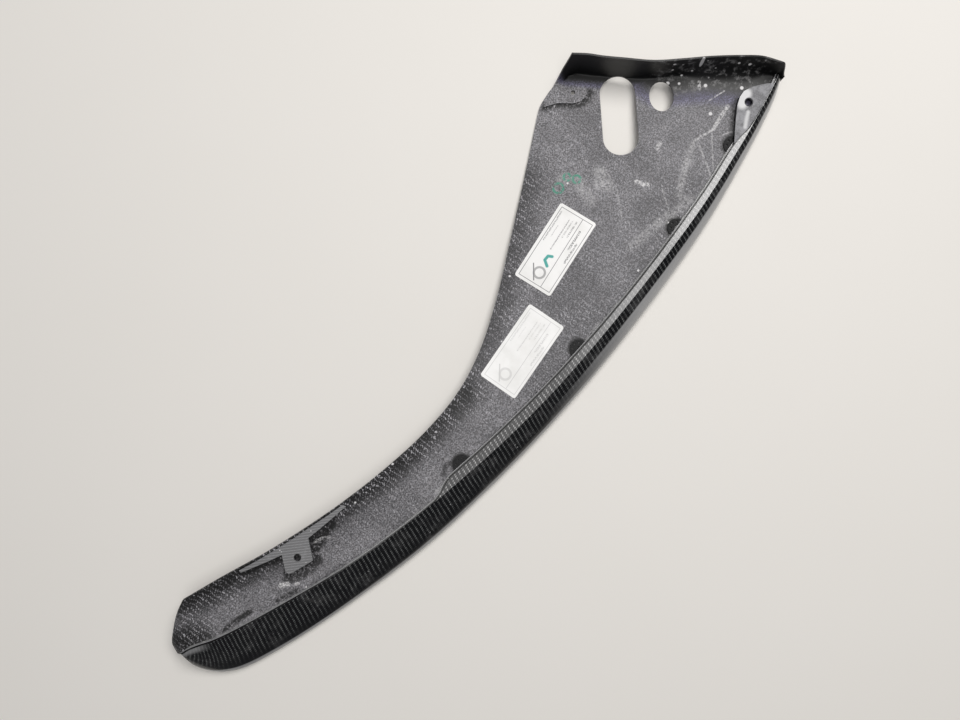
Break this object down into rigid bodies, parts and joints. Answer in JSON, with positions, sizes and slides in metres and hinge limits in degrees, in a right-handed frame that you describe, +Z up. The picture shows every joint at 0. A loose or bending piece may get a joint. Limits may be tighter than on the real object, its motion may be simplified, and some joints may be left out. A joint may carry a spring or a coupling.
{
  "type": "carbon-fibre racing aero panel",
  "caption": "Boomerang-shaped carbon-fibre aero panel: single skin with a hollow bonded leading edge, upturned root end, slotted hole, oval hole, and bonded tail and root brackets.",
  "frame": {"origin": "middle of the footprint's bounding box, on the surface that the panel rests on, inner side up", "axes": "+X from the tail to the root along the panel's length, +Y from the leading edge to the free edge, +Z up out of the panel's inner side"},
  "size_m": [1.0054, 0.2962, 0.0506],
  "materials": {
    "rough_carbon": "bare bag-side carbon laminate, coarse cloth print, satin to matt, dusty",
    "gloss_carbon": "mould-side 2x2 twill carbon under clear gloss resin",
    "bracket_carbon": "flat carbon plate, fine weave, satin",
    "adhesive": "cured grey structural epoxy",
    "sleeve_steel": "black-oxide turned steel",
    "disc_steel": "black-coated perforated steel",
    "label_paper": "white laminated label with pale grey print, no words"
  },
  "bodies": {
    "root": {"outer_skin": "rough_carbon", "nose_shell": "gloss_carbon", "seam_backing_strip": "rough_carbon", "hardpoint_pad": "rough_carbon", "tail_bracket": "bracket_carbon", "tail_bracket_bond": "adhesive", "root_bracket": "gloss_carbon", "root_bracket_bond": "adhesive", "root_bracket_sleeve": "sleeve_steel", "label_upper": "label_paper", "label_lower": "label_paper", "fastener_disc_1": "disc_steel", "fastener_disc_2": "disc_steel", "fastener_disc_3": "disc_steel", "fastener_disc_4": "disc_steel", "foot_bond_1": "adhesive", "foot_bond_2": "adhesive", "foot_bond_3": "adhesive", "foot_bond_4": "adhesive", "foot_bond_5": "adhesive"}
  },
  "joints": []
}
